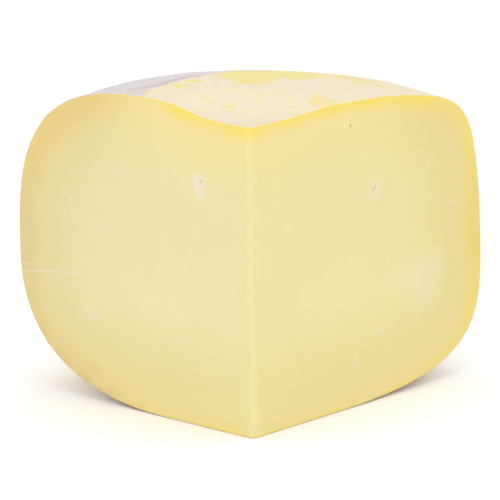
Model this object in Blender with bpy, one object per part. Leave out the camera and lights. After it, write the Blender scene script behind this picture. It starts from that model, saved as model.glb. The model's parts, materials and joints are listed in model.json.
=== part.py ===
"""A wedge cut from a small Gouda-type cheese wheel: one solid of paste with the rind it grew.

Row frame, in metres: +Z up. The wedge stands on the flat underside of the wheel. Its tip, which was
the middle of the wheel, points towards -Y, and the rind at its back towards +Y. The origin is under
the middle of its bounding box. The two knife cuts meet in the upright tip edge.

The wheel's section is two superellipse corners: the foot rounds up from the flat underside to the
waist, where the wheel is widest, and the shoulder rounds on from there to the crowned top. A soft
cheese slumps unevenly, so the section differs from one cut to the other: round at the left cut, and
square-shouldered at the right cut.
"""

import math
from typing import NamedTuple

import bmesh
import bpy

CUT_ANGLE = math.radians(94.0)
TIP_HEIGHT = 0.1140
TIP_ROUND = 0.0024
CAP_RADIUS = 0.0100  # the top is level this far from the wheel's middle
CROWN_RADIUS = 0.0428  # the top has risen to its crown this far from the wheel's middle
CROWN_POWER = 3.0

STATIONS = 41  # sections from the left cut to the right cut
FOOT_STEPS = 14
SHOULDER_STEPS = 20
CROWN_STEPS = 7
TIP_SEGMENTS = 6

PASTE_COLOUR = (0.86, 0.76, 0.40, 1.0)
PASTE_ROUGHNESS = 0.5


class Section(NamedTuple):
    """Half of the wheel's section, from its middle out to its side."""

    reach: float  # radius at the waist
    waist: float  # height of the waist
    foot: float  # radius of the flat underside
    foot_bow: float  # how far the foot's corner is from square, where 1 is an ellipse
    crown: float  # height of the crown
    shoulder_bow: float  # how far the shoulder's corner is from square
    fall: float  # how far the top falls from its crown to the side
    lean: float  # how far the side leans in from the waist to the top


LEFT_CUT = Section(0.1126, 0.0543, 0.0366, 0.81, 0.1182, 0.70, 0.0, 0.0)
RIGHT_CUT = Section(0.1220, 0.0466, 0.0270, 0.59, 0.1150, 0.20, 0.0101, 0.0077)
# Away from the cuts the underside is pressed flat by the weight, and the top keeps its full crown.
MIDDLE_FOOT = 0.0880
MIDDLE_FOOT_BOW = 0.87
MIDDLE_CROWN_RISE = 0.0031
MIDDLE_SKEW = 1.2  # above 1, the fullest section is nearer the right cut
MIDDLE_BREADTH = 4  # above 2, the fullest section holds over more of the turn


def mix(a, b, share):
    return a + (b - a) * share


def section_at(share):
    """The wheel's section at this share of the turn from the left cut to the right cut."""
    section = Section(*(mix(a, b, share) for a, b in zip(LEFT_CUT, RIGHT_CUT)))
    inside = 1.0 - abs(2.0 * share**MIDDLE_SKEW - 1.0) ** MIDDLE_BREADTH
    return section._replace(
        foot=mix(section.foot, MIDDLE_FOOT, inside),
        foot_bow=mix(section.foot_bow, MIDDLE_FOOT_BOW, inside),
        crown=section.crown + MIDDLE_CROWN_RISE * inside,
    )


def corner(steps, bow):
    """Shares out and up a superellipse corner, from (0, 0) to (1, 1), closer where it is tight."""
    spacing = 1.0 / math.sqrt(bow)
    for step in range(1, steps + 1):
        turn = math.pi / 2 * step / steps
        turn = math.atan2(math.sin(turn) ** spacing, math.cos(turn) ** spacing)
        yield math.sin(turn) ** bow, 1.0 - math.cos(turn) ** bow


def section_points(section):
    """(radius, height) from the edge of the flat underside to the edge of the level cap."""
    points = [(section.foot, 0.0)]
    for out, up in corner(FOOT_STEPS, section.foot_bow):
        points.append((mix(section.foot, section.reach, out), section.waist * up))
    for up, across in corner(SHOULDER_STEPS, section.shoulder_bow):
        outer = 1.0 - across
        radius = mix(CROWN_RADIUS, section.reach, outer) - section.lean * up**2 * outer
        height = mix(section.waist, section.crown - section.fall * outer**2, up)
        points.append((radius, height))
    for step in range(1, CROWN_STEPS + 1):
        share = 1.0 - step / CROWN_STEPS
        rise = math.sin(math.pi / 2 * share) ** CROWN_POWER
        points.append(
            (
                mix(CAP_RADIUS, CROWN_RADIUS, share),
                mix(TIP_HEIGHT, section.crown, rise),
            )
        )
    return points


def add_station(bm, share):
    """The vertices and the edges of the section at this share of the turn."""
    turn = CUT_ANGLE * (share - 0.5)
    verts = [
        bm.verts.new((radius * math.sin(turn), radius * math.cos(turn), height))
        for radius, height in section_points(section_at(share))
    ]
    edges = [bm.edges.new(pair) for pair in zip(verts, verts[1:])]
    return verts, edges


def close_ends(bm, stations):
    """Adds the level cap, the flat underside and the two cut faces, and returns the tip edge."""
    tip_low = bm.verts.new((0.0, 0.0, 0.0))
    tip_high = bm.verts.new((0.0, 0.0, TIP_HEIGHT))
    left, right = stations[0][0], stations[-1][0]
    bm.faces.new([tip_low] + [verts[0] for verts, _ in stations])
    bm.faces.new([tip_high] + [verts[-1] for verts, _ in reversed(stations)])
    bm.faces.new([tip_high, tip_low] + left)
    bm.faces.new([tip_low, tip_high] + list(reversed(right)))
    return bm.edges.get((tip_low, tip_high))


def stand_over_origin(bm):
    """Moves the mesh so that the origin is under the middle of its bounding box."""
    for axis in (0, 1):
        places = [vert.co[axis] for vert in bm.verts]
        middle = (min(places) + max(places)) / 2
        for vert in bm.verts:
            vert.co[axis] -= middle


def cheese_mesh():
    bm = bmesh.new()
    stations = [add_station(bm, index / (STATIONS - 1)) for index in range(STATIONS)]
    for (_, here), (_, beyond) in zip(stations, stations[1:]):
        bmesh.ops.bridge_loops(bm, edges=here + beyond)
    tip_edge = close_ends(bm, stations)
    bmesh.ops.recalc_face_normals(bm, faces=bm.faces)
    bmesh.ops.bevel(
        bm,
        geom=[tip_edge],
        offset=TIP_ROUND,
        segments=TIP_SEGMENTS,
        profile=0.5,
        affect="EDGES",
    )
    stand_over_origin(bm)
    mesh = bpy.data.meshes.new("cheese_wedge")
    bm.to_mesh(mesh)
    bm.free()
    mesh.shade_smooth()
    mesh.set_sharp_from_angle(angle=math.radians(40.0))
    return mesh


def paste_material():
    material = bpy.data.materials.new("cheese_paste")
    material.use_nodes = True
    shader = material.node_tree.nodes["Principled BSDF"]
    shader.inputs["Base Color"].default_value = PASTE_COLOUR
    shader.inputs["Roughness"].default_value = PASTE_ROUGHNESS
    shader.inputs["Metallic"].default_value = 0.0
    return material


def main():
    for old in list(bpy.data.objects):
        bpy.data.objects.remove(old)
    mesh = cheese_mesh()
    mesh.materials.append(paste_material())
    bpy.context.scene.collection.objects.link(bpy.data.objects.new("cheese_wedge", mesh))


main()
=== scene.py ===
"""Dresses a packed cheese wedge: cut paste, natural rind, eyes and wire marks, on a pale studio floor.

The wedge's shape is read from the CAD node, so it follows the frame. Lengths are in metres, in the
frame's own axes: the tip edge points to -Y, the rind at the back faces +Y, and Z is up.
"""

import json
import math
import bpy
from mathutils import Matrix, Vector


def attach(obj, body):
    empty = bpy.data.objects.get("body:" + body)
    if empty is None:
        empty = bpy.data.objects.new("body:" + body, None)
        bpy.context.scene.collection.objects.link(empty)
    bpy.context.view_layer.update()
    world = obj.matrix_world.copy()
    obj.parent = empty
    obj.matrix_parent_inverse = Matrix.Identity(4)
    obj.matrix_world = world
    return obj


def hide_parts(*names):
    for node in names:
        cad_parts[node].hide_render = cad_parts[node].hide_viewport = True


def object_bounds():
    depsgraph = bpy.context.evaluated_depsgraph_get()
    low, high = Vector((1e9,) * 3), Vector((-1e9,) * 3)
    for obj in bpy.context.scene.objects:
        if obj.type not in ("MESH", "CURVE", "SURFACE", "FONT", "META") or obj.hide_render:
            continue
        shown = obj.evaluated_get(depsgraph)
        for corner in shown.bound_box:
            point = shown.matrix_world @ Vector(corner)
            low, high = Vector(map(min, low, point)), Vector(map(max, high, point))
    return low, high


bl_info = {
    "name": "Cheese Wedge Dressing",
    "version": (1, 0, 0),
    "blender": (4, 5, 0),
    "location": "3D View > Sidebar > Cheese",
    "description": "Models the cut paste and the rind of a cheese wedge round its packed solid",
    "category": "Object",
}

from typing import NamedTuple

import bmesh
import bpy
import numpy as np
from bpy.props import FloatProperty, FloatVectorProperty, PointerProperty
from mathutils import Matrix, Vector

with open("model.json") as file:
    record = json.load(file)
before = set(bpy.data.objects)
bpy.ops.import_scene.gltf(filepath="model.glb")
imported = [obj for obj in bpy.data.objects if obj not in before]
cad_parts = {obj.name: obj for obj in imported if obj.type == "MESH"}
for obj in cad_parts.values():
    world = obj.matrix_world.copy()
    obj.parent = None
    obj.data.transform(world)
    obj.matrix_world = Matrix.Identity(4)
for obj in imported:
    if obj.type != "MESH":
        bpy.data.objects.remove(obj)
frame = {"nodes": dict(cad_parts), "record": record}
CAD_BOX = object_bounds()

NODE = "cheese_wedge"
PIECE = "cheese_body"
PASTE_SLOT, RIND_SLOT = 0, 1

CELLS = 104  # cells along each edge of the block that is shaped into the wedge
SPREAD = 1.15  # above 1, the cells are finer near the tip edge
EDGE = 1e-5  # a point of the block this near to one of its sides is on it
SPAN_STEPS = 160  # steps along each span of the wheel's outline

LINE_POINTS = 600  # points along an outline, once its facets are eased away
EASED_OVER = 1.4  # of those points, the spread of the easing
EASING_REACH = 12  # and how far it reads each way
STATION_GAP = math.radians(0.5)  # the CAD node's sections are further apart than this

BAKE_GAP = 0.012  # between the sides of the block on the bake map, as a share of one side


# ---------------------------------------------------------------- the wheel, read from the frame


def cut_plane(name):
    """A cut's outward direction in plan, and its distance from the origin along that direction."""
    mount = next(m for m in frame["record"]["mounts"] if m["name"] == name)
    outward = np.array(mount["axis"][:2])
    return outward, outward @ np.array(mount["pos_m"][:2])


def wheel_middle():
    """Where the planes of the two cuts cross: the upright line that was the wheel's middle."""
    planes = [cut_plane("left_cut"), cut_plane("right_cut")]
    return np.linalg.solve([outward for outward, _ in planes], [away for _, away in planes])


MIDDLE = wheel_middle()
HALF_TURN = math.atan2(-cut_plane("right_cut")[0][1], cut_plane("right_cut")[0][0])
TIP_SETBACK = CAD_BOX[0].y - MIDDLE[1]  # from where the cuts would meet to the tip edge
# The tip edge is an arc that is tangent to both cuts this far from where they would meet.
TIP_TANGENT = TIP_SETBACK / (1 / math.cos(HALF_TURN) - math.tan(HALF_TURN))


def cad_stations():
    """(turn, outline) of each of the CAD node's sections, outlines running from foot to cap."""
    places = np.array([v.co for v in frame["nodes"][NODE].data.vertices])
    places[:, :2] -= MIDDLE
    radius = np.hypot(places[:, 0], places[:, 1])
    places, radius = places[radius > 2 * TIP_TANGENT], radius[radius > 2 * TIP_TANGENT]
    turn = np.arctan2(places[:, 0], places[:, 1])
    order = np.argsort(turn)
    gaps = np.diff(turn[order]) > STATION_GAP
    stations = []
    for group in np.split(order, np.flatnonzero(gaps) + 1):
        outline = np.unique(np.round(np.stack([radius[group], places[group, 2]], 1), 6), axis=0)
        heart = outline.max(axis=0) / 2
        around = np.arctan2(outline[:, 0] - heart[0], heart[1] - outline[:, 1])
        around[around < -math.pi / 2] += 2 * math.pi
        stations.append((turn[group].mean(), outline[np.argsort(around)]))
    return stations


def smooth_line(corners):
    """The line through the corners as evenly spaced points, with its facets eased away."""
    legs = np.hypot(*np.diff(corners, axis=0).T)
    far = np.concatenate([[0], np.cumsum(legs)])
    even = np.linspace(0, far[-1], LINE_POINTS)
    line = np.stack([np.interp(even, far, corners[:, k]) for k in (0, 1)], 1)
    steps = np.arange(-EASING_REACH, EASING_REACH + 1)
    weights = np.exp(-0.5 * (steps / EASED_OVER) ** 2)
    weights /= weights.sum()
    before = 2 * line[0] - line[EASING_REACH:0:-1]
    after = 2 * line[-1] - line[-2 : -2 - EASING_REACH : -1]
    longer = np.concatenate([before, line, after])
    return np.stack([np.convolve(longer[:, k], weights, "valid") for k in (0, 1)], 1)


def even_span(line, start, end):
    """SPAN_STEPS + 1 points of the line from one place to another, which may run backwards."""
    where = np.linspace(start, end, SPAN_STEPS + 1)
    return np.stack([np.interp(where, np.arange(len(line)), line[:, k]) for k in (0, 1)], 1)


def section_spans():
    """Share of the turn of every section, and its foot, side and top as (radius, height) points.

    The foot and the top run outwards from the wheel's middle, and the side runs upwards. They join
    where the section's outline heads halfway between level and upright.
    """
    shares, spans = [], {"foot": [], "side": [], "top": []}
    for turn, outline in cad_stations():
        line = smooth_line(np.concatenate([[[0, 0]], outline, [[0, outline[-1, 1]]]]))
        heading = np.unwrap(np.arctan2(np.gradient(line[:, 1]), np.gradient(line[:, 0])))
        low = np.argmax(heading > math.radians(45))
        high = np.argmax(heading > math.radians(135))
        shares.append((turn / HALF_TURN + 1) / 2)
        spans["foot"].append(even_span(line, 0, low))
        spans["side"].append(even_span(line, low, high))
        spans["top"].append(even_span(line, len(line) - 1, high))
    return np.array(shares), {name: np.array(rows) for name, rows in spans.items()}


SHARES, SPANS = section_spans()
TIP_HEIGHT = SPANS["top"][0, 0, 1]


def on_span(name, share, along):
    """Radius and height on a span, at these shares of the turn and of the span's length."""
    table = SPANS[name]
    row = np.interp(share, SHARES, np.arange(len(SHARES)))
    column = np.clip(along, 0, 1) * SPAN_STEPS
    above = np.minimum(row.astype(int), len(SHARES) - 2)
    left = np.minimum(column.astype(int), SPAN_STEPS - 1)
    down, across = (row - above)[:, None], (column - left)[:, None]
    upper = table[above, left] * (1 - across) + table[above, left + 1] * across
    lower = table[above + 1, left] * (1 - across) + table[above + 1, left + 1] * across
    return upper * (1 - down) + lower * down


def in_cut(share, along, up):
    """Radius and height inside a cut, spread evenly between its four sides."""
    along, up = along[:, None], up[:, None]
    nothing, all_of_it = np.zeros(len(share)), np.ones(len(share))
    foot, top = on_span("foot", share, along[:, 0]), on_span("top", share, along[:, 0])
    side = on_span("side", share, up[:, 0])
    tip = np.concatenate([0 * up, TIP_HEIGHT * up], 1)
    low, high = on_span("side", share, nothing), on_span("side", share, all_of_it)
    peak = np.array([0, TIP_HEIGHT])
    corners = along * ((1 - up) * low + up * high) + (1 - along) * up * peak
    return (1 - up) * foot + up * top + (1 - along) * tip + along * side - corners


def tip_rounding(radius, share):
    """How far the rounded tip edge moves points that are this far from the wheel's middle."""
    turned = np.clip(radius / TIP_TANGENT, 0, 1) * (math.pi / 2 - HALF_TURN)
    arc = TIP_TANGENT * math.tan(HALF_TURN)
    near = radius < TIP_TANGENT
    across = np.where(near, arc * np.sin(turned) - radius * math.sin(HALF_TURN), 0)
    inward = TIP_TANGENT / math.cos(HALF_TURN) - arc * np.cos(turned) - radius * math.cos(HALF_TURN)
    return np.stack([(2 * share - 1) * across, np.where(near, inward, 0)], 1)


def wedge_places(block):
    """Where the points of the block's surface go. Its X runs along the right cut, Y along the left."""
    u, v, w = block.T
    wide = np.maximum(u, v)
    safe = np.maximum(wide, 1e-9)
    share = np.where(u >= v, 1 - 0.5 * v / safe, 0.5 * u / safe)
    along = wide**SPREAD
    section = np.where((wide > 1 - EDGE)[:, None], on_span("side", share, w), 0)
    inner = (wide < 1 - EDGE) & (w > EDGE) & (w < 1 - EDGE)
    section[inner] = in_cut(share[inner], along[inner], w[inner])
    for name, flat in (("foot", w < EDGE), ("top", w > 1 - EDGE)):
        section[flat] = on_span(name, share[flat], along[flat])
    radius, height = section.T
    turn = (2 * share - 1) * HALF_TURN
    plan = radius[:, None] * np.stack([np.sin(turn), np.cos(turn)], 1)
    plan += MIDDLE + tip_rounding(radius, share)
    return np.concatenate([plan, height[:, None]], 1)


# ---------------------------------------------------------------- mesh helpers


def only(piece):
    """Leaves this piece alone selected, and active."""
    bpy.ops.object.select_all(action="DESELECT")
    piece.select_set(True)
    bpy.context.view_layer.objects.active = piece


def places_of(mesh):
    found = np.empty(len(mesh.vertices) * 3)
    mesh.vertices.foreach_get("co", found)
    return found.reshape(-1, 3)


def move_to(mesh, places):
    mesh.vertices.foreach_set("co", np.ascontiguousarray(places).ravel())
    mesh.update()


def select_by(piece, kind, test):
    """In edit mode, selects the faces or edges that pass the test, and nothing else."""
    bpy.ops.mesh.select_mode(type=kind)
    bpy.ops.mesh.select_all(action="DESELECT")
    editing = bmesh.from_edit_mesh(piece.data)
    for item in editing.faces if kind == "FACE" else editing.edges:
        if test(item):
            item.select_set(True)
    editing.select_flush_mode()
    bmesh.update_edit_mesh(piece.data)


def ease(value, start, end):
    """0 at start and before it, 1 at end and past it, with a smooth rise between them."""
    share = np.clip((value - start) / (end - start), 0, 1)
    return share * share * (3 - 2 * share)


def wheel_polar(places):
    """Radius from the wheel's middle, turn from straight back (right is positive), in degrees."""
    plan = places[:, :2] - MIDDLE
    return np.hypot(*plan.T), np.degrees(np.arctan2(plan[:, 0], plan[:, 1]))


def cut_frame(cut):
    """Directions along a cut, away from the tip edge, and out of it."""
    sign = -1 if cut == "left" else 1
    turn = sign * HALF_TURN
    along = np.array([math.sin(turn), math.cos(turn), 0])
    outward = np.array([sign * math.cos(HALF_TURN), -math.sin(HALF_TURN), 0])
    return along, outward


# ---------------------------------------------------------------- the block, shaped into the wedge


def cut_block():
    """A cube with its faces cut into cells, the paste and the rind on faces of their own."""
    bpy.ops.object.select_all(action="DESELECT")
    bpy.ops.mesh.primitive_cube_add(size=1, location=(0.5, 0.5, 0.5))
    piece = bpy.context.active_object
    piece.name = PIECE
    piece.data.name = PIECE
    bpy.ops.object.transform_apply(location=True, rotation=True, scale=True)
    bpy.ops.object.mode_set(mode="EDIT")
    bpy.ops.mesh.select_all(action="SELECT")
    bpy.ops.mesh.subdivide(number_cuts=CELLS - 1)
    bpy.ops.object.mode_set(mode="OBJECT")
    return piece


def lay_out_flat(piece):
    """Spreads the block's six sides over the bake map, three by two, with a gap between them."""
    mesh = piece.data
    block = places_of(mesh)
    corners = np.empty(len(mesh.loops), dtype=int)
    mesh.loops.foreach_get("vertex_index", corners)
    normals = np.empty(len(mesh.polygons) * 3)
    mesh.polygons.foreach_get("normal", normals)
    normals = normals.reshape(-1, 3).round()
    axis = np.repeat(np.abs(normals).argmax(axis=1), 4)
    far = np.repeat(normals.sum(axis=1) > 0, 4)
    at = block[corners]
    first = np.where(axis == 0, at[:, 1], at[:, 0])
    second = np.where(axis == 2, at[:, 1], at[:, 2])
    flip = np.where(axis == 1, ~far, far) ^ (axis == 0) ^ (axis == 2)
    first = np.where(flip, 1 - first, first)
    inset = BAKE_GAP + np.stack([first, second], 1) * (1 - 2 * BAKE_GAP)
    spread = (np.stack([axis, far], 1) + inset) / (3, 2)
    mesh.uv_layers[0].name = "OFBake"
    mesh.uv_layers["OFBake"].data.foreach_set("uv", spread.ravel())


def shape_wedge(piece):
    """Moves the block's surface onto the wedge's, and tells paste from rind by side of the block."""
    mesh = piece.data
    block = places_of(mesh)
    slots = np.full(len(mesh.polygons), RIND_SLOT)
    centres = np.empty(len(mesh.polygons) * 3)
    mesh.polygons.foreach_get("center", centres)
    centres = centres.reshape(-1, 3)
    slots[(centres[:, 0] < EDGE) | (centres[:, 1] < EDGE)] = PASTE_SLOT
    mesh.polygons.foreach_set("material_index", slots)
    move_to(mesh, wedge_places(block))


def round_rims(piece, offset):
    """Eases the edge between the cuts and the rind, which a wire leaves crisp but not sharp."""
    only(piece)
    bpy.ops.object.mode_set(mode="EDIT")
    select_by(piece, "EDGE", lambda edge: len({face.material_index for face in edge.link_faces}) == 2)
    bpy.ops.mesh.bevel(offset=offset, segments=2, affect="EDGES", material=RIND_SLOT)
    bpy.ops.mesh.select_all(action="SELECT")
    bpy.ops.mesh.normals_make_consistent(inside=False)
    bpy.ops.object.mode_set(mode="OBJECT")


def weigh(piece, name, weights):
    """Adds a vertex group with these weights."""
    group = piece.vertex_groups.new(name=name)
    for index, weight in enumerate(weights):
        if weight > 0.001:
            group.add([index], float(weight), "REPLACE")


def dent(piece, name, group, size, depth, detail=2):
    """Sinks a soft cloud of hollows of this size into the vertices of a group, never outwards."""
    clouds = bpy.data.textures.new(name, "CLOUDS")
    clouds.noise_scale = size
    clouds.noise_depth = detail
    relief = piece.modifiers.new(name, "DISPLACE")
    relief.texture = clouds
    relief.texture_coords = "LOCAL"
    relief.vertex_group = group
    relief.strength = depth
    relief.mid_level = 1.0
    bpy.ops.object.modifier_apply(modifier=relief.name)
    bpy.data.textures.remove(clouds)


# Where each kind of relief fades in, from none to full.
RIND_FADE = (0.0003, 0.004)  # from a cut inwards
FLANK_FADE = (0.0006, 0.012)  # from a cut inwards
FLANK_TOP = (0.108, 0.085)  # height
FLANK_FOOT = (0.002, 0.020)  # height
CUT_FADE = (0.0005, 0.004)  # from the rind inwards
ON_CUT = 0.0002  # a vertex this near to a cut is on it


def rim_depth(piece):
    """How far each vertex is beneath the rind, measured in the plane of the nearer cut."""
    places = places_of(piece.data)
    radius, turn = wheel_polar(places)
    depth = np.empty(len(places))
    for row, mine in ((0, turn < 0), (-1, turn >= 0)):
        outline = np.concatenate([SPANS["foot"][row], SPANS["side"][row], SPANS["top"][row][::-1]])
        sections = np.stack([radius[mine], places[mine, 2]], 1)
        nearest = np.full(len(sections), np.inf)
        for point in outline:
            nearest = np.minimum(nearest, np.hypot(*(sections - point).T))
        depth[mine] = nearest
    return depth


def cut_gap(places):
    """How far each vertex is inside the nearer of the two cuts."""
    gaps = []
    for name in ("left_cut", "right_cut"):
        outward, away = cut_plane(name)
        gaps.append(away - places[:, :2] @ outward)
    return np.minimum(*gaps)


def sink_relief(piece, sizes):
    """The wheel's slow swell, the rind's lumps and pits, and the wire's waver over the cuts."""
    height = places_of(piece.data)[:, 2]
    inside = cut_gap(places_of(piece.data))
    weigh(piece, "rind", ease(inside, *RIND_FADE))
    weigh(piece, "flank", ease(inside, *FLANK_FADE) * ease(height, *FLANK_TOP) * ease(height, *FLANK_FOOT))
    weigh(piece, "cuts", ease(rim_depth(piece), *CUT_FADE) * (inside < ON_CUT))
    only(piece)
    dent(piece, "slow swell", "rind", size=0.040, depth=sizes.swell)
    dent(piece, "rind lumps", "rind", size=0.011, depth=sizes.lumps)
    dent(piece, "flank lumps", "flank", size=0.017, depth=sizes.flank, detail=1)
    dent(piece, "rind pits", "rind", size=0.0042, depth=0.45 * sizes.lumps, detail=1)
    dent(piece, "wire waver", "cuts", size=0.026, depth=sizes.waver)
    dent(piece, "curd waver", "cuts", size=0.009, depth=0.4 * sizes.waver, detail=1)


# ---------------------------------------------------------------- eyes, slits and pits


class Hollow(NamedTuple):
    """A hollow in a cut: where it is, its half sizes along its own axes, its depth and its lean."""

    place: str  # a cut
    along: float  # from the tip edge
    up: float
    wide: float
    tall: float
    depth: float
    lean: float = 0.0  # degrees from upright, towards the rind


HOLLOWS = (
    Hollow("left", 0.0243, 0.0893, 0.0033, 0.0042, 0.00035, 8),
    Hollow("left", 0.0238, 0.0908, 0.0012, 0.0008, 0.00055, 30),
    Hollow("left", 0.0770, 0.0328, 0.0032, 0.0031, 0.00022, 0),
    Hollow("left", 0.0329, 0.0297, 0.0016, 0.0013, 0.00020, 0),
    Hollow("right", 0.0640, 0.0804, 0.0004, 0.0017, 0.0008, 42),
    Hollow("right", 0.0185, 0.0734, 0.0024, 0.0026, 0.00020, 0),
    Hollow("right", 0.0514, 0.1055, 0.0004, 0.0006, 0.0007, 10),
    Hollow("right", 0.0670, 0.0258, 0.0003, 0.0012, 0.0003, 60),
    Hollow("right", 0.0535, 0.0170, 0.0003, 0.0010, 0.0003, -40),
)


REFINED = 3  # times that the cells of a hollow may be halved
CELLS_IN_HOLLOW = 4  # cells wanted across the smaller of a hollow's half sizes
BRIM_ROOM = 0.0008  # the cells are made finer this far past the brim too
WORN_BRIM = 1.3  # above 1, the brim of a hollow is softer
OFF_CUT = 0.003  # a vertex this far from a cut's plane is no part of the cut
SLIVER = 1e-9  # a face smaller than this, in square metres, isn't divided again
NOWHERE = 1e9


def brim_distance(patch, places):
    """Distance from the middle of a hollow or stain, 1 on its brim, on the patch's own cut only."""
    along, outward = cut_frame(patch.place)
    plan = places[:, :2] - MIDDLE
    reach = plan @ along[:2] - patch.along
    rise = places[:, 2] - patch.up
    lean = math.radians(patch.lean)
    across = reach * math.cos(lean) - rise * math.sin(lean)
    upward = reach * math.sin(lean) + rise * math.cos(lean)
    distance = np.hypot(across / patch.wide, upward / patch.tall)
    distance[np.abs(plan @ outward[:2]) > OFF_CUT] = NOWHERE
    return distance


def open_hollow(piece, hollow, depth_scale):
    """Makes the cells of a hollow finer, then presses it into the paste."""
    only(piece)
    smaller = min(hollow.wide, hollow.tall)
    for _ in range(REFINED):
        centres = np.empty(len(piece.data.polygons) * 3)
        piece.data.polygons.foreach_get("center", centres)
        areas = np.empty(len(piece.data.polygons))
        piece.data.polygons.foreach_get("area", areas)
        near = brim_distance(hollow, centres.reshape(-1, 3)) < 1 + BRIM_ROOM / hollow.wide
        if not near.any() or math.sqrt(areas[near].mean()) < smaller / CELLS_IN_HOLLOW:
            break
        wanted = set(np.flatnonzero(near & (areas > SLIVER)).tolist())
        bpy.ops.object.mode_set(mode="EDIT")
        select_by(piece, "FACE", lambda face: face.index in wanted)
        bpy.ops.mesh.subdivide(number_cuts=1, quadcorner="INNERVERT")
        bpy.ops.object.mode_set(mode="OBJECT")
    bpy.ops.object.mode_set(mode="EDIT")
    select_by(piece, "FACE", lambda face: len(face.verts) > 4)
    bpy.ops.mesh.poke()
    bpy.ops.object.mode_set(mode="OBJECT")
    places = places_of(piece.data)
    bowl = np.clip(1 - brim_distance(hollow, places) ** 2, 0, 1) ** WORN_BRIM
    sink = bowl * hollow.depth * depth_scale
    _, outward = cut_frame(hollow.place)
    move_to(piece.data, places - sink[:, None] * outward)


# ---------------------------------------------------------------- what the materials read


class Stain(NamedTuple):
    """A soft patch of colour: its middle, half sizes, strength and lean."""

    place: str  # a cut, or "top"
    along: float  # from the tip edge; on the top, the radius from the wheel's middle
    up: float  # height; on the top, degrees from straight back, right is positive
    wide: float
    tall: float
    strength: float
    lean: float = 0.0
    core: float = 0.25  # it is at full strength out to this share of its size


PALE = (
    Stain("left", 0.0244, 0.0903, 0.0040, 0.0040, 0.90, 0, 0.62),
    Stain("left", 0.0242, 0.0878, 0.0033, 0.0046, 0.75, 6, 0.45),
    Stain("left", 0.0770, 0.0328, 0.0044, 0.0044, 0.30, 0, 0.50),
    Stain("left", 0.0329, 0.0297, 0.0030, 0.0028, 0.30),
    Stain("left", 0.0889, 0.0691, 0.0055, 0.0090, 0.14),
    Stain("left", 0.0707, 0.0663, 0.0080, 0.0060, 0.12),
    Stain("left", 0.1028, 0.0702, 0.0012, 0.0014, 0.55),
    Stain("left", 0.0628, 0.0892, 0.0090, 0.0060, 0.16),
    Stain("right", 0.0645, 0.0796, 0.0050, 0.0062, 0.60, 20),
    Stain("right", 0.0185, 0.0734, 0.0040, 0.0042, 0.25),
    Stain("right", 0.0904, 0.0396, 0.0120, 0.0140, 0.34),
    Stain("right", 0.0970, 0.0448, 0.0070, 0.0090, 0.34),
    Stain("right", 0.1063, 0.0674, 0.0030, 0.0015, 0.35, 20),
    Stain("right", 0.0670, 0.0258, 0.0014, 0.0026, 0.75, 60),
    Stain("right", 0.0535, 0.0170, 0.0014, 0.0022, 0.75, -40),
    Stain("right", 0.0020, 0.0962, 0.0012, 0.0008, 0.70),
)
# Darker marks. Over the eye near the top of the left cut, and over the slit and the small pit of the right
# cut, they are painted shade in the hollows. The thin upright one on the left cut is a darker streak.
DARK = (
    Stain("left", 0.0238, 0.0908, 0.0018, 0.0012, 0.22, 30),
    Stain("left", 0.0883, 0.0702, 0.0010, 0.0080, 0.25, 10),
    Stain("right", 0.0640, 0.0804, 0.0006, 0.0017, 0.35, 42),
    Stain("right", 0.0514, 0.1055, 0.0007, 0.0009, 0.90, 10),
)
YOLKY = (
    Stain("left", 0.0050, 0.1125, 0.0110, 0.0060, 0.85, 0, 0.3),
    Stain("left", 0.0190, 0.1140, 0.0090, 0.0040, 0.5),
    Stain("left", 0.0320, 0.1150, 0.0120, 0.0060, 0.95, 0, 0.35),
    Stain("right", 0.0040, 0.1125, 0.0060, 0.0060, 0.75),
    Stain("right", 0.0210, 0.1140, 0.0130, 0.0060, 0.90, 0, 0.3),
    Stain("right", 0.0400, 0.1145, 0.0160, 0.0065, 0.95, 0, 0.4),
    Stain("right", 0.0620, 0.1145, 0.0180, 0.0065, 1.00, 0, 0.4),
    Stain("right", 0.0870, 0.1120, 0.0180, 0.0080, 0.90, 0, 0.4),
    Stain("right", 0.1140, 0.0880, 0.0080, 0.0130, 0.50),
    Stain("right", 0.1120, 0.0310, 0.0100, 0.0150, 0.60),
)

SUNNY = (
    Stain("top", 0.0500, -27, 0.0060, 6, 0.7),
    Stain("top", 0.0550, -19, 0.0060, 6, 0.7),
    Stain("top", 0.0610, 3, 0.0210, 14, 1.0, 0, 0.50),
    Stain("top", 0.0720, 15, 0.0150, 14, 0.9, 0, 0.4),
    Stain("top", 0.0280, -16, 0.0070, 11, 0.4),
    Stain("top", 0.0400, 41, 0.0100, 11, 0.65, 0, 0.2),
    Stain("top", 0.0780, 32, 0.0110, 12, 0.6),
)


TOP_FROM = 0.08  # the stains of the top are above this height


def stain_field(stains, places):
    """The strongest of these stains at each place, fading to nothing at each one's brim."""
    radius, turn = wheel_polar(places)
    field = np.zeros(len(places))
    for stain in stains:
        if stain.place == "top":
            inside = places[:, 2] > TOP_FROM
            distance = np.hypot((radius - stain.along) / stain.wide, (turn - stain.up) / stain.tall)
            distance[~inside] = NOWHERE
        else:
            distance = brim_distance(stain, places)
        field = np.maximum(field, stain.strength * (1 - ease(distance, stain.core, 1.0)))
    return field


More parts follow.
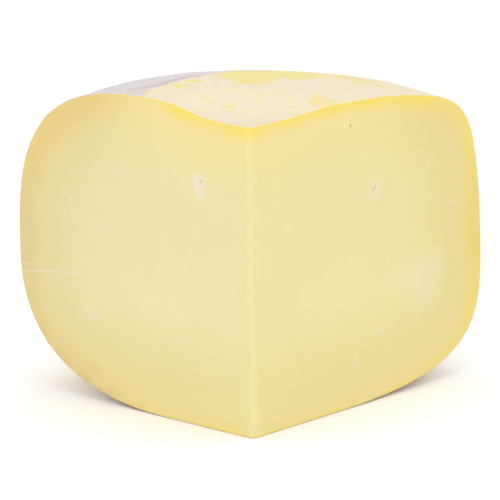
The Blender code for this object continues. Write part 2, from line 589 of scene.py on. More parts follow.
# Lines over the top, as the turn from straight back in degrees and the radius at each of their bends.
MOULD_EDGE = ((-50, 0.050), (-45, 0.052), (-20, 0.062), (0, 0.072), (12, 0.082))
MOULD_SOFTNESS = 0.004  # the mould fades this far each way from its edge
MOULD_ENDS = (0, 13)  # degrees from straight back: where it thins, and where it is gone
MOULD_FOOT = (0.030, 0.100)  # height
MOULD_WAVERS = (0.112, 0.100)  # height
THIN_MOULD = 0.42  # how thickly mould grows on the side
THIN_MOULD_FOOT = (0.015, 0.050)  # height
THIN_MOULD_TOP = (0.108, 0.080)  # height
CREASE = ((-44, 0.066), (-36, 0.0595), (-30, 0.0585), (-22, 0.062), (-12, 0.067))
CREASE_MIDDLE = -27  # degrees from straight back
CREASE_ENDS = (11, 18)  # degrees from its middle: where it fades, and where it is gone
CREASE_HALF_WIDTH = 0.0032
CREASE_FROM = 0.09  # the crease is above this height
CREASE_FADE = (0.0, 0.003)  # from a cut inwards


def grey_bloom(places):
    """Where grey mould grows: over the top past a line that is nearer the middle on the left, and
    thinly all over the wheel's side, where the material breaks it into patches."""
    radius, turn = wheel_polar(places)
    height = places[:, 2]
    edge = np.interp(turn, *zip(*MOULD_EDGE))
    # Where it comes down over the shoulder, its right end wanders by some degrees.
    waver = (6 * np.sin(95 * height) + 4 * np.sin(260 * height + 1)) * ease(height, *MOULD_WAVERS)
    over_top = ease(radius - edge, -MOULD_SOFTNESS, MOULD_SOFTNESS)
    cover = over_top * (1 - ease(turn + waver, *MOULD_ENDS)) * ease(height, *MOULD_FOOT)
    side = THIN_MOULD * ease(height, *THIN_MOULD_FOOT) * ease(height, *THIN_MOULD_TOP)
    return np.maximum(cover, side)


def fold_line(places):
    """The crease that runs over the top from the left cut, 1 along its middle, faint at its ends."""
    radius, turn = wheel_polar(places)
    aside = np.abs(radius - np.interp(turn, *zip(*CREASE)))
    present = (1 - ease(np.abs(turn - CREASE_MIDDLE), *CREASE_ENDS)) * (places[:, 2] > CREASE_FROM)
    return (1 - ease(aside, 0.0, CREASE_HALF_WIDTH)) * present


def write_fields(piece):
    """Writes what the materials read: distances in metres, and masks from 0 to 1."""
    places = places_of(piece.data)
    radius, turn = wheel_polar(places)
    fields = {
        "depth": rim_depth(piece),
        "reach": radius,
        "share": (turn / math.degrees(HALF_TURN) + 1) / 2,
        "pale": stain_field(PALE, places),
        "dark": stain_field(DARK, places),
        "yolky": stain_field(YOLKY, places),
        "sunny": stain_field(SUNNY, places),
        "grey": grey_bloom(places),
        "fold": fold_line(places),
    }
    for name, values in fields.items():
        layer = piece.data.attributes.new(name, "FLOAT", "POINT")
        layer.data.foreach_set("value", values.astype(np.float32))


def press_fold(piece, depth):
    """Presses the crease into the top. It runs out just before the cut, whose edge stays whole."""
    places = places_of(piece.data)
    weight = fold_line(places) * ease(cut_gap(places), *CREASE_FADE)
    places[:, 2] -= weight * depth
    move_to(piece.data, places)


# ---------------------------------------------------------------- node helpers


def node(tree, kind, feeds=(), **settings):
    """A new node. Feeds are its inputs by name or number, each a value or another node's output."""
    made = tree.nodes.new(kind)
    for name, value in settings.items():
        setattr(made, name, value)
    for key, value in dict(feeds).items():
        if isinstance(value, bpy.types.NodeSocket):
            tree.links.new(value, made.inputs[key])
        else:
            made.inputs[key].default_value = value
    return made


def reading(tree, name):
    """What write_fields wrote under this name."""
    return node(tree, "ShaderNodeAttribute", attribute_name=name).outputs["Fac"]


def rising(tree, value, start, end, low=0.0, high=1.0):
    """A smooth change from low to high, while the value goes from start to end."""
    feeds = {0: value, 1: start, 2: end, 3: low, 4: high}
    return node(tree, "ShaderNodeMapRange", feeds, interpolation_type="SMOOTHSTEP").outputs[0]


def maths(tree, operation, *values):
    feeds = dict(enumerate(values))
    return node(tree, "ShaderNodeMath", feeds, operation=operation).outputs[0]


def product(tree, *values):
    """All of these multiplied together."""
    total = values[0]
    for value in values[1:]:
        total = maths(tree, "MULTIPLY", total, value)
    return total


def scaled(tree, value, factor, added):
    """The value times the factor, with the last number added."""
    return maths(tree, "MULTIPLY_ADD", value, factor, added)


def between(tree, share, low, high):
    """The number this share of the way from low to high."""
    feeds = {0: share, 2: low, 3: high}
    return node(tree, "ShaderNodeMix", feeds, data_type="FLOAT").outputs[0]


def blended(tree, share, first, second):
    """The first colour, with this share of the second over it."""
    feeds = {0: share, 6: first, 7: second}
    return node(tree, "ShaderNodeMix", feeds, data_type="RGBA").outputs[2]


def noise(tree, place, scale, detail=2.0, roughness=0.5):
    feeds = {"Vector": place, "Scale": scale, "Detail": detail, "Roughness": roughness}
    return node(tree, "ShaderNodeTexNoise", feeds).outputs[0]


def stretched(tree, place, scale):
    feeds = {"Vector": place, "Scale": scale}
    return node(tree, "ShaderNodeMapping", feeds, vector_type="POINT").outputs["Vector"]


def bumped(tree, height, distance, strength, under=None):
    """The normal of a bump, over the normal that is under it."""
    feeds = {"Height": height, "Distance": distance, "Strength": strength}
    if under is not None:
        feeds["Normal"] = under
    return node(tree, "ShaderNodeBump", feeds).outputs["Normal"]


def new_group(name, inputs, outputs):
    """An empty node group with these sockets, and its input and output nodes."""
    group = bpy.data.node_groups.new(name, "ShaderNodeTree")
    for side, sockets in (("INPUT", inputs), ("OUTPUT", outputs)):
        for label, kind, value in sockets:
            socket = group.interface.new_socket(label, in_out=side, socket_type=kind)
            if value is not None:
                socket.default_value = value
    return group, group.nodes.new("NodeGroupInput"), group.nodes.new("NodeGroupOutput")


FLOAT, VECTOR = "NodeSocketFloat", "NodeSocketVector"


def soft_mottle_group():
    """Cloudy patches at one scale, as a mask."""
    group, given, made = new_group(
        "Soft Mottle",
        (("Place", VECTOR, None), ("Patches Per Metre", FLOAT, 40.0), ("Sharpness", FLOAT, 0.3)),
        (("Mask", FLOAT, None),),
    )
    clouds = noise(group, given.outputs["Place"], given.outputs["Patches Per Metre"], 3.0, 0.55)
    low = scaled(group, given.outputs["Sharpness"], 0.28, 0.22)
    high = maths(group, "SUBTRACT", 1.0, low)
    group.links.new(rising(group, clouds, low, high), made.inputs["Mask"])
    return group


def curd_grain_group():
    """The fine grain of pressed curd: a height, and specks where grains part."""
    group, given, made = new_group(
        "Curd Grain",
        (("Place", VECTOR, None), ("Grains Per Metre", FLOAT, 700.0), ("Specks", FLOAT, 0.5)),
        (("Height", FLOAT, None), ("Speck", FLOAT, None)),
    )
    place, grains = given.outputs["Place"], given.outputs["Grains Per Metre"]
    fine = noise(group, place, grains, 2.0, 0.6)
    broad = noise(group, place, product(group, grains, 0.22), 2.0, 0.5)
    feeds = {"Vector": place, "Scale": product(group, grains, 0.45)}
    cells = node(group, "ShaderNodeTexVoronoi", feeds).outputs["Distance"]
    height = maths(group, "ADD", product(group, fine, 0.4), broad)
    spots = rising(group, cells, 0.0, 0.22, 1.0, 0.0)
    chance = rising(group, broad, 0.50, 0.64)
    speck = product(group, spots, chance, given.outputs["Specks"])
    group.links.new(maths(group, "SUBTRACT", height, speck), made.inputs["Height"])
    group.links.new(speck, made.inputs["Speck"])
    return group


def mottled(tree, groups, place, patches, sharpness):
    """The mask of cloudy patches, this many to the metre."""
    feeds = {"Place": place, "Patches Per Metre": patches, "Sharpness": sharpness}
    return node(tree, "ShaderNodeGroup", feeds, node_tree=groups["mottle"]).outputs["Mask"]


def grained(tree, groups, place, grains, specks):
    """The outputs of the curd's grain, with this many grains to the metre."""
    feeds = {"Place": place, "Grains Per Metre": grains, "Specks": specks}
    return node(tree, "ShaderNodeGroup", feeds, node_tree=groups["grain"]).outputs


def new_material(name):
    """A material's node tree, its shader and its Object coordinates."""
    material = bpy.data.materials.new(name)
    material.use_nodes = True
    tree = material.node_tree
    shader = tree.nodes["Principled BSDF"]
    return material, tree, shader, node(tree, "ShaderNodeTexCoord").outputs["Object"]


# ---------------------------------------------------------------- the paste


# Where each change in the paste starts and is complete, in metres.
LIT_LOW_DOWN = (0.075, 0.0)  # height: lighter towards the floor, which is painted light
LIT_AT_FOOT = (0.035, 0.0)  # height: the drier paste is yellower and lighter towards the floor, where the lightness is painted light
UNDER_TOP = (0.060, 0.090)  # height: yellower
SHOULDER = (0.062, 0.096)  # height: the rim's colour deepens where the outline curves
FOOT_CURVE = (0.046, 0.024)  # height: and again, less, above the foot
DRYING = (0.050, 0.012)  # beneath the rind
DRYING_UNDER_TOP = (0.034, 0.006)  # beneath the rind
TOP_BAND = (0.0085, 0.0020)  # beneath the rind
SIDE_BAND = (0.0160, 0.0036)  # beneath the rind
RIND_LINE = (0.0016, 0.0004)  # beneath the rind
YOLK_BAND = (0.0080, 0.0010)  # beneath the rind
TIP_HIGHLIGHT_BAND = (0.0050, 0.0010)  # from the tip edge: the band of the painted highlight
BECOMES_SIDE = ((0.040, 0.050), (0.078, 0.100))  # from the tip edge: start and end, each left and right
SHOULDER_WIDENS = (-0.003, 0.002)  # added to the depth at the shoulder, left and right
SCUFFS_IN = (0.0050, 0.0010)  # beneath the rind
SCUFFS_UP = (0.030, 0.018)  # height
SCUFFS_OUT = (0.035, 0.060)  # from the tip edge
DRAG_SLOPE = 0.136  # the wire's marks sink this much for each metre from the tip edge
DRAG_FOOT, DRAG_TOP = (0.050, 0.059), (0.079, 0.067)  # height of the marks' lines at the tip edge
DRAG_OUT = (0.045, 0.085)  # from the tip edge
SCRATCH_LEVEL = 0.0587  # height at the tip edge of the line of the longest scratch
SCRATCH_EDGE = (0.0006, 0.0001)  # off its line
SCRATCH_OUT = (0.076, 0.090)  # from the tip edge


class Paste(NamedTuple):
    """What the paste's colour depends on, each the output of a node."""

    height: object
    depth: object  # beneath the rind
    wandering: object  # the depth, made uneven by the clouds
    reach: object  # from the tip edge
    left: object  # 1 on the left cut
    right: object  # 1 on the right cut
    near_side: object  # 0 towards the tip edge, 1 towards the wheel's side
    cloud: object
    patches: object


def read_paste(tree, groups, place):
    """Adds the nodes that the paste's colour depends on."""
    depth, reach = reading(tree, "depth"), reading(tree, "reach")
    right = rising(tree, reading(tree, "share"), 0.2, 0.8)
    cloud = mottled(tree, groups, place, 34.0, 0.2)
    starts, ends = (rising(tree, right, 0.0, 1.0, *bounds) for bounds in BECOMES_SIDE)
    return Paste(
        height=node(tree, "ShaderNodeSeparateXYZ", {0: place}).outputs["Z"],
        depth=depth,
        wandering=scaled(tree, cloud, 0.006, depth),
        reach=reach,
        left=maths(tree, "SUBTRACT", 1.0, right),
        right=right,
        near_side=rising(tree, reach, starts, ends),
        cloud=cloud,
        patches=mottled(tree, groups, place, 120.0, 0.5),
    )


def inner_colour(tree, paste, colours):
    """Creamy paste, cloudy, and lighter low down, which is painted light."""
    colour = blended(tree, paste.right, colours.paste_left, colours.paste_right)
    # Painted light: the paste is lighter towards the floor, where less light reaches it.
    colour = blended(tree, rising(tree, paste.height, *LIT_LOW_DOWN), colour, colours.paste_lit_low)
    return blended(tree, product(tree, paste.cloud, 0.60), colour, colours.paste_warm)


def with_drier_paste(tree, paste, colours, colour):
    """Paste that has dried towards the rind, yellower under the top, and yellower and lighter at the foot,
    where the lightness is painted light.
    """
    upper = rising(tree, paste.height, *UNDER_TOP)
    drier = blended(tree, paste.right, colours.outer_left, colours.outer_right)
    topmost = blended(tree, paste.near_side, colours.outer_top, drier)
    drier = blended(tree, upper, drier, topmost)
    # Painted light: near the floor the drier paste is lighter, where less light reaches it.
    drier = blended(tree, rising(tree, paste.height, *LIT_AT_FOOT, 0.0, 0.8), drier, colours.outer_lit_low)
    central = product(tree, upper, maths(tree, "SUBTRACT", 1.0, paste.near_side))
    dried = between(
        tree,
        central,
        rising(tree, paste.wandering, *DRYING, 0.0, 0.85),
        rising(tree, paste.wandering, *DRYING_UNDER_TOP, 0.0, 0.85),
    )
    return blended(tree, dried, colour, drier)


def with_rim(tree, paste, colours, colour):
    """The deep band just beneath the rind, its yolk-yellow patches, and a painted highlight down the
    rounded tip edge.
    """
    curved = maths(
        tree,
        "MAXIMUM",
        rising(tree, paste.height, *SHOULDER),
        rising(tree, paste.height, *FOOT_CURVE, 0.0, 0.6),
    )
    side = blended(tree, paste.right, colours.rim_left, colours.rim_right)
    shoulder = blended(tree, paste.right, colours.shoulder_left, colours.shoulder_right)
    side = blended(tree, curved, side, shoulder)
    rim = blended(tree, paste.near_side, colours.rim_top, side)

    widened = rising(tree, paste.right, 0.0, 1.0, *SHOULDER_WIDENS)
    shoulder_depth = scaled(tree, curved, widened, paste.wandering)
    band = between(
        tree,
        paste.near_side,
        rising(tree, paste.wandering, *TOP_BAND),
        rising(tree, shoulder_depth, *SIDE_BAND),
    )
    fainter_at_foot = rising(tree, paste.height, 0.0, 0.03, 0.55, 1.0)
    colour = blended(tree, product(tree, band, fainter_at_foot, 0.85), colour, rim)

    # Painted highlight: the rounded tip edge is lighter, more so low down.
    highlighted = rising(tree, paste.height, 0.105, 0.050, 0.25, 0.85)
    tip = product(tree, rising(tree, paste.reach, *TIP_HIGHLIGHT_BAND), highlighted)
    colour = blended(tree, tip, colour, colours.tip)
    yolky = product(tree, reading(tree, "yolky"), rising(tree, paste.depth, *YOLK_BAND))
    colour = blended(tree, yolky, colour, colours.yolk)
    line = product(tree, rising(tree, paste.depth, *RIND_LINE), 0.5)
    return blended(tree, line, colour, blended(tree, paste.near_side, colours.yolk, rim))


def with_scuffs(tree, paste, colours, colour):
    """Crumbs of rind that the wire dragged into the foot of the left cut."""
    scuffs = product(
        tree,
        rising(tree, paste.depth, *SCUFFS_IN),
        rising(tree, paste.height, *SCUFFS_UP),
        rising(tree, paste.reach, *SCUFFS_OUT),
        rising(tree, paste.patches, 0.35, 0.85, 0.0, 0.55),
        paste.left,
    )
    return blended(tree, scuffs, colour, colours.crust)


def wire_marks(tree, paste):
    """The wire's marks on the left cut: fine streaks, where they show, and one long scratch."""
    level = scaled(tree, paste.reach, DRAG_SLOPE, paste.height)
    feeds = {"X": product(tree, paste.reach, 12.0), "Z": product(tree, level, 420.0)}
    streaks = noise(tree, node(tree, "ShaderNodeCombineXYZ", feeds).outputs[0], 1.0, 3.0, 0.6)
    dragged = product(
        tree,
        rising(tree, level, *DRAG_FOOT),
        rising(tree, level, *DRAG_TOP),
        rising(tree, paste.reach, *DRAG_OUT),
        paste.left,
    )
    off_line = maths(tree, "ABSOLUTE", maths(tree, "SUBTRACT", level, SCRATCH_LEVEL))
    scratch = product(
        tree,
        rising(tree, off_line, *SCRATCH_EDGE),
        rising(tree, paste.reach, *SCRATCH_OUT),
        paste.left,
    )
    return streaks, dragged, scratch


def paste_material(groups, colours):
    """Cut paste: creamy in the middle, drier and deeper in colour towards the rind."""
    material, tree, shader, place = new_material("cut_paste")
    paste = read_paste(tree, groups, place)
    grain = grained(tree, groups, place, 620.0, 0.35)
    streaks, dragged, scratch = wire_marks(tree, paste)

    colour = inner_colour(tree, paste, colours)
    for layer in (with_drier_paste, with_rim, with_scuffs):
        colour = layer(tree, paste, colours, colour)
    streaky = product(tree, rising(tree, streaks, 0.50, 0.66), dragged, 0.30)
    marks = maths(tree, "MAXIMUM", streaky, product(tree, scratch, 0.5))
    pale = maths(tree, "MAXIMUM", reading(tree, "pale"), marks)
    pale = product(tree, pale, rising(tree, paste.patches, 0.0, 1.0, 0.7, 1.0))
    colour = blended(tree, pale, colour, colours.pale)
    # Painted shade in the eyes, the slit and the pit, and one darker streak on the left cut.
    colour = blended(tree, reading(tree, "dark"), colour, colours.shade)
    colour = blended(tree, product(tree, grain["Speck"], 0.30), colour, colours.shade)
    tree.links.new(colour, shader.inputs["Base Color"])

    gloss = rising(tree, paste.patches, 0.0, 1.0, 0.42, 0.54)
    dry = rising(tree, paste.depth, 0.010, 0.001, 0.0, 0.16)
    tree.links.new(maths(tree, "ADD", gloss, dry), shader.inputs["Roughness"])
    streak_height = product(tree, streaks, scaled(tree, dragged, 0.75, 0.25))
    normal = bumped(tree, grain["Height"], 0.00022, 0.7)
    normal = bumped(tree, streak_height, 0.00030, 0.8, normal)
    tree.links.new(normal, shader.inputs["Normal"])
    shader.inputs["Specular IOR Level"].default_value = 0.32
    shader.inputs["Subsurface Weight"].default_value = 0.12
    shader.inputs["Subsurface Radius"].default_value = (1.0, 0.6, 0.25)
    shader.inputs["Subsurface Scale"].default_value = 0.003
    return material


# ---------------------------------------------------------------- the rind


# Heights at which each change in the rind starts and is complete.
CROWN = (0.078, 0.124)  # the bloom covers the crust
FLANK = (0.100, 0.075)  # top becomes side
SIDE_MOULD = (0.100, 0.080)  # thinner mould shows
PITTED = (0.112, 0.085)  # pits are darker


class Rind(NamedTuple):
    """What the rind's colour depends on, each the output of a node."""

    height: object
    flank: object  # 1 down the wheel's side, 0 on its top
    broad: object
    small: object
    fine: object


def crust_and_bloom(tree, rind, colours):
    """Ochre crust, with a cream bloom that covers the top and is dusted over the side."""
    crust = blended(tree, rind.broad, colours.crust, colours.crust_deep)
    crust = blended(tree, product(tree, rind.small, 0.35), crust, colours.rim_right)
    crust = blended(tree, product(tree, rind.fine, 0.25), crust, colours.crust_deep)
    bloom = blended(tree, product(tree, rind.small, 0.5), colours.bloom, colours.bloom_warm)
    crowned = rising(tree, scaled(tree, rind.broad, 0.030, rind.height), *CROWN)
    dusted = product(tree, rind.broad, rising(tree, rind.fine, 0.2, 0.9), 0.35)
    return blended(tree, maths(tree, "MAXIMUM", crowned, dusted), crust, bloom)


def with_mould(tree, rind, colours, colour):
    """Grey mould, whole over the edge of the top and broken into patches down the side."""
    clouds = scaled(tree, rind.small, 0.45, rind.broad)
    clouds = maths(tree, "ADD", clouds, product(tree, rind.fine, 0.3))
    broken = scaled(tree, rind.flank, 0.9, 0.25)
    cover = scaled(tree, maths(tree, "SUBTRACT", clouds, 0.87), broken, reading(tree, "grey"))
    start = rising(tree, rind.height, *SIDE_MOULD, 0.30, 0.10)
    grown = rising(tree, cover, start, 0.90)
    grey = blended(tree, scaled(tree, rind.small, 0.6, 0.3), colours.grey_pale, colours.grey)
    return blended(tree, grown, colour, grey)


def with_top_marks(tree, rind, colours, colour):
    """The sunny patches of the top, and its crease, darkened along its line as painted shade."""
    sunny = maths(tree, "SUBTRACT", reading(tree, "sunny"), 0.35)
    sunny = rising(tree, scaled(tree, rind.small, 0.6, sunny), -0.1, 0.80)
    colour = blended(tree, sunny, colour, colours.bloom_yellow)
    # Painted shade along the crease in the top.
    return blended(tree, product(tree, reading(tree, "fold"), 0.95), colour, colours.fold)


def rind_material(groups, colours):
    """Natural rind: ochre crust, with a cream bloom on the top that goes grey towards the side."""
    material, tree, shader, place = new_material("natural_rind")
    height = node(tree, "ShaderNodeSeparateXYZ", {0: place}).outputs["Z"]
    rind = Rind(
        height=height,
        flank=rising(tree, height, *FLANK),
        broad=mottled(tree, groups, place, 45.0, 0.25),
        small=mottled(tree, groups, place, 190.0, 0.30),
        fine=mottled(tree, groups, place, 700.0, 0.4),
    )
    grain = grained(tree, groups, place, 900.0, 0.8)
    pits = grained(tree, groups, place, 300.0, 0.9)
    cloth = noise(tree, stretched(tree, place, (22.0, 22.0, 480.0)), 1.0, 2.0, 0.5)

    colour = crust_and_bloom(tree, rind, colours)
    for layer in (with_mould, with_top_marks):
        colour = layer(tree, rind, colours, colour)
    pitted = product(tree, pits["Speck"], rising(tree, height, *PITTED, 0.15, 0.8))
    specks = maths(tree, "MAXIMUM", product(tree, grain["Speck"], 0.25), pitted)
    colour = blended(tree, specks, colour, colours.pit)
    tree.links.new(colour, shader.inputs["Base Color"])

    tree.links.new(rising(tree, rind.fine, 0.0, 1.0, 0.55, 0.80), shader.inputs["Roughness"])
    normal = bumped(tree, grain["Height"], 0.00035, 0.8)
    normal = bumped(tree, rind.small, 0.00040, 0.6, normal)
    normal = bumped(tree, pits["Height"], 0.00050, 0.6, normal)
    normal = bumped(tree, product(tree, cloth, rind.flank), 0.00035, 0.7, normal)
    tree.links.new(normal, shader.inputs["Normal"])
    shader.inputs["Specular IOR Level"].default_value = 0.28
    return material


# ---------------------------------------------------------------- the stage


def floor_material(colours):
    """Pale matt card, with a faint tooth."""
    material, tree, shader, place = new_material("pale_card")
    tooth = noise(tree, place, 260.0, 3.0, 0.6)
    shade = rising(tree, noise(tree, place, 1.5), 0.3, 0.7, 0.0, 0.25)
    deeper = (*(part * 0.985 for part in colours.floor[:3]), 1.0)
    tree.links.new(blended(tree, shade, colours.floor, deeper), shader.inputs["Base Color"])
    tree.links.new(rising(tree, tooth, 0.3, 0.7, 0.85, 0.95), shader.inputs["Roughness"])
    tree.links.new(bumped(tree, tooth, 0.0001, 0.3), shader.inputs["Normal"])
    shader.inputs["Specular IOR Level"].default_value = 0.1
    return material


def soft_light(name, place, aim, size, power):
    """A round soft lamp that points at its aim."""
    data = bpy.data.lights.new(name, "AREA")
    data.shape = "DISK"
    data.size = size
    data.energy = power
    lamp = bpy.data.objects.new(name, data)
    bpy.context.scene.collection.objects.link(lamp)
    lamp.location = place
    lamp.rotation_euler = (Vector(aim) - Vector(place)).to_track_quat("-Z", "Y").to_euler()


def set_camera(stage):
    """Adds the camera, which looks down at the tip edge from in front, a little from the left."""
    turn, down, roll = stage.turn, stage.down, stage.roll
    forward = Vector((math.sin(turn) * math.cos(down), math.cos(turn) * math.cos(down), -math.sin(down)))
    level = Vector((math.cos(turn), -math.sin(turn), 0))
    across = level * math.cos(roll) + level.cross(forward) * math.sin(roll)
    upright = across.cross(forward)
    tip_middle = Vector((MIDDLE[0], MIDDLE[1], TIP_HEIGHT / 2))
    position = tip_middle - forward * stage.distance
    aim = tip_middle + across * stage.aim_across + upright * stage.aim_up
    ahead = (aim - position).normalized()
    across = (across - ahead * across.dot(ahead)).normalized()
    upright = across.cross(ahead)
    data = bpy.data.cameras.new("camera")
    data.lens = stage.lens
    camera = bpy.data.objects.new("camera", data)
    bpy.context.scene.collection.objects.link(camera)
    columns = Matrix((across, upright, -ahead)).transposed()
    camera.matrix_world = Matrix.Translation(position) @ columns.to_4x4()
    bpy.context.scene.camera = camera


# ---------------------------------------------------------------- settings


# Light on the wedge's sides and on its top, where 1 shows a colour as it is.
SIDE_LIGHT, TOP_LIGHT = 1.27, 1.24


def tone(swatch, level):
    """The linear colour that looks like this swatch, of parts up to 255, in light of this level."""
    parts = [part / 255 for part in swatch]
    linear = [part / 12.92 if part <= 0.04045 else ((part + 0.055) / 1.055) ** 2.4 for part in parts]
    return (*(min(part / level, 1.0) for part in linear), 1.0)


def colour_setting(name, description, swatch, level=SIDE_LIGHT):
    """A colour that a user can change."""
    colour = tone(swatch, level)
    return FloatVectorProperty(
        name=name, description=description, default=colour, size=4, subtype="COLOR", min=0, max=1
    )


def length_setting(name, description, metres):
    """A length that a user can change."""
    return FloatProperty(
        name=name, description=description, default=metres, min=0, unit="LENGTH", precision=5
    )


def angle_setting(name, description, degrees):
    """An angle that a user can change."""
    return FloatProperty(
        name=name, description=description, default=math.radians(degrees), subtype="ANGLE"
    )


class CheeseSizes(bpy.types.PropertyGroup):
    """Sizes of the wedge's relief."""

    rim: length_setting("Rim", "Width of the eased edge between cut and rind", 0.0003)
    swell: length_setting("Swell", "Depth of the slow hollows in the rind", 0.0006)
    lumps: length_setting("Lumps", "Depth of the small lumps of the rind", 0.0004)
    flank: length_setting("Flank", "Depth of the lumps of the wheel's side", 0.0012)
    waver: length_setting("Waver", "Depth of the waver that the wire left in the cuts", 0.0003)
    fold: length_setting("Fold", "Depth of the crease in the top", 0.0008)
    eyes: FloatProperty(name="Eyes", description="Depth of the eyes", default=1.0, min=0, subtype="FACTOR")


class CheeseColours(bpy.types.PropertyGroup):
    """Colours of the paste, the rind and the stage."""

    paste_left: colour_setting("Paste, Left", "The middle of the left cut", (241, 228, 173))
    paste_right: colour_setting("Paste, Right", "The middle of the right cut", (242, 229, 166))
    # Painted light: paste made lighter near the floor, where less light reaches it.
    paste_lit_low: colour_setting("Paste, Low", "Moister paste near the floor", (251, 240, 182))
    paste_warm: colour_setting("Warm Paste", "Clouds in the paste", (239, 224, 163))
    outer_left: colour_setting("Outer Paste, Left", "Drier paste of the left cut", (234, 218, 156))
    outer_right: colour_setting("Outer Paste, Right", "Drier paste of the right cut", (237, 219, 147))
    outer_top: colour_setting("Outer Paste, Top", "Yellower paste under the top", (247, 229, 155))
    # The drier paste near the floor, made lighter as painted light.
    outer_lit_low: colour_setting("Outer Paste, Low", "Drier paste near the floor", (246, 229, 156))
    rim_left: colour_setting("Rim, Left", "Paste under the side's rind", (228, 207, 147))
    rim_right: colour_setting("Rim, Right", "Paste under the side's rind", (242, 215, 116))
    shoulder_left: colour_setting("Shoulder, Left", "Paste under the shoulder", (236, 208, 128))
    shoulder_right: colour_setting("Shoulder, Right", "Paste under the shoulder", (249, 222, 116))
    rim_top: colour_setting("Rim, Top", "Paste under the top's rind", (249, 226, 132))
    yolk: colour_setting("Yolk", "Bright patches under the rind", (250, 227, 108))
    # Painted highlight down the rounded tip edge.
    tip: colour_setting("Tip", "The worn tip edge", (243, 231, 168))
    pale: colour_setting("Pale", "Dry halos round the eyes", (245, 232, 207))
    shade: colour_setting("Shade", "Pits and specks", (212, 192, 128))
    crust: colour_setting("Crust", "The rind", (226, 199, 132))
    crust_deep: colour_setting("Deep Crust", "Dark clouds in the rind", (206, 172, 106))
    pit: colour_setting("Pit", "Dark pits in the rind", (176, 138, 84))
    bloom: colour_setting("Bloom", "Cream cover of the top", (244, 231, 208), TOP_LIGHT)
    bloom_warm: colour_setting("Warm Bloom", "Clouds in the cover", (247, 232, 192), TOP_LIGHT)
    bloom_yellow: colour_setting("Yellow Bloom", "Patches on the top", (247, 230, 152), TOP_LIGHT)
    grey: colour_setting("Grey", "Grey mould", (216, 207, 211), TOP_LIGHT)
    grey_pale: colour_setting("Pale Grey", "Thin grey mould", (234, 229, 231), TOP_LIGHT)
    # Painted shade in the crease: a darker copy of the grey mould.
    fold: colour_setting("Fold", "The crease in the top", (206, 194, 200), TOP_LIGHT)
    floor: colour_setting("Floor", "The floor", (251, 251, 252), 1.0)


class CheeseStage(bpy.types.PropertyGroup):
    """The camera and the light."""

    turn: angle_setting("Turn", "Camera's heading, 0 along +Y and more towards +X", 2.5)
    down: angle_setting("Down", "Camera's tilt below level", 15.4)
    roll: angle_setting("Roll", "Camera's roll", -0.61)
    lens: FloatProperty(name="Lens", description="Focal length", default=306.4, min=1, unit="CAMERA")
    distance: FloatProperty(
        name="Distance", description="From the camera to the tip edge", default=1.5, unit="LENGTH"
    )
    aim_across: FloatProperty(
        name="Aim Across", description="Aim, to the right of the tip edge", default=-0.0007, unit="LENGTH"
    )
    aim_up: FloatProperty(
        name="Aim Up", description="Aim, above the tip edge's middle", default=0.0123, unit="LENGTH"
    )
    sky: FloatProperty(name="Sky", description="Strength of the white surround", default=1.06, min=0)
    key: FloatProperty(name="Key", description="Power of the front light", default=11.0, unit="POWER")
    top: FloatProperty(name="Top", description="Power of the top light", default=6.0, unit="POWER")


# ---------------------------------------------------------------- operators


class CHEESE_OT_body(bpy.types.Operator):
    """Models the wedge: the block, its rims, relief and eyes, with paste and rind on it"""

    bl_idname = "cheese.body"
    bl_label = "Wedge"

    def execute(self, context):
        sizes, colours = context.scene.cheese_sizes, context.scene.cheese_colours
        piece = cut_block()
        groups = {"mottle": soft_mottle_group(), "grain": curd_grain_group()}
        piece.data.materials.append(paste_material(groups, colours))
        piece.data.materials.append(rind_material(groups, colours))
        lay_out_flat(piece)
        shape_wedge(piece)
        round_rims(piece, sizes.rim)
        sink_relief(piece, sizes)
        press_fold(piece, sizes.fold)
        for hollow in HOLLOWS:
            open_hollow(piece, hollow, sizes.eyes)
        write_fields(piece)
        piece.vertex_groups.clear()
        only(piece)
        bpy.ops.object.shade_smooth_by_angle(angle=math.radians(60))
        if len(piece.data.polygons) < CELLS * CELLS:
            raise RuntimeError("the wedge lost its faces")
        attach(piece, "root")
        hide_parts(NODE)
        return {"FINISHED"}


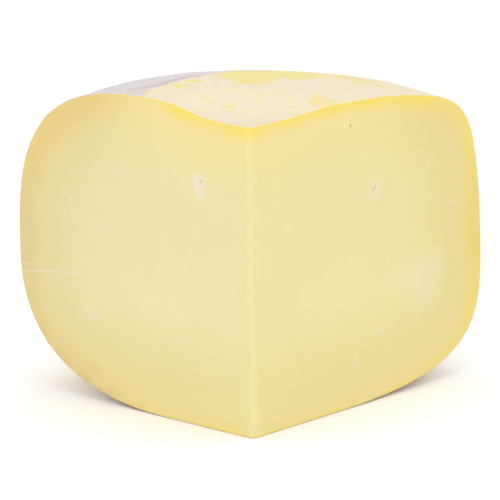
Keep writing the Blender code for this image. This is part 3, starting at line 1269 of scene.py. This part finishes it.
class CHEESE_OT_stage(bpy.types.Operator):
    """Sets the pale floor, the white surround, two soft lights and the camera"""

    bl_idname = "cheese.stage"
    bl_label = "Stage"

    def execute(self, context):
        stage, colours = context.scene.cheese_stage, context.scene.cheese_colours
        bpy.ops.object.select_all(action="DESELECT")
        bpy.ops.mesh.primitive_plane_add(size=30, location=(0, 0, CAD_BOX[0].z))
        floor = context.active_object
        floor.name = "floor"
        bpy.ops.object.transform_apply(location=True, rotation=True, scale=True)
        floor.data.materials.append(floor_material(colours))
        world = bpy.data.worlds.new("white_surround")
        world.use_nodes = True
        back = world.node_tree.nodes["Background"]
        back.inputs["Color"].default_value = (1, 1, 1, 1)
        back.inputs["Strength"].default_value = stage.sky
        context.scene.world = world
        aim = (0, 0, TIP_HEIGHT / 2)
        soft_light("front light", (-0.15, -2.3, 0.7), aim, 1.2, stage.key)
        soft_light("top light", (0.2, 0.2, 2.2), aim, 1.6, stage.top)
        context.scene.view_settings.view_transform = "Standard"
        set_camera(stage)
        return {"FINISHED"}


class CHEESE_PT_panel(bpy.types.Panel):
    """Lists the wedge's operators and settings"""

    bl_idname = "CHEESE_PT_panel"
    bl_label = "Cheese Wedge"
    bl_space_type = "VIEW_3D"
    bl_region_type = "UI"
    bl_category = "Cheese"

    def draw(self, context):
        for operator, settings in (
            (CHEESE_OT_body, "cheese_sizes"),
            (None, "cheese_colours"),
            (CHEESE_OT_stage, "cheese_stage"),
        ):
            column = self.layout.column()
            if operator:
                column.operator(operator.bl_idname)
            values = getattr(context.scene, settings)
            for name in values.__annotations__:
                column.prop(values, name)


CLASSES = (CheeseSizes, CheeseColours, CheeseStage, CHEESE_OT_body, CHEESE_OT_stage, CHEESE_PT_panel)
SETTINGS = {
    "cheese_sizes": CheeseSizes,
    "cheese_colours": CheeseColours,
    "cheese_stage": CheeseStage,
}


def register():
    for kind in CLASSES:
        bpy.utils.register_class(kind)
    for name, kind in SETTINGS.items():
        setattr(bpy.types.Scene, name, PointerProperty(type=kind))


def unregister():
    for name in SETTINGS:
        delattr(bpy.types.Scene, name)
    for kind in reversed(CLASSES):
        bpy.utils.unregister_class(kind)


def main():
    register()
    bpy.ops.cheese.body()
    bpy.ops.cheese.stage()


if __name__ == "__main__":
    main()
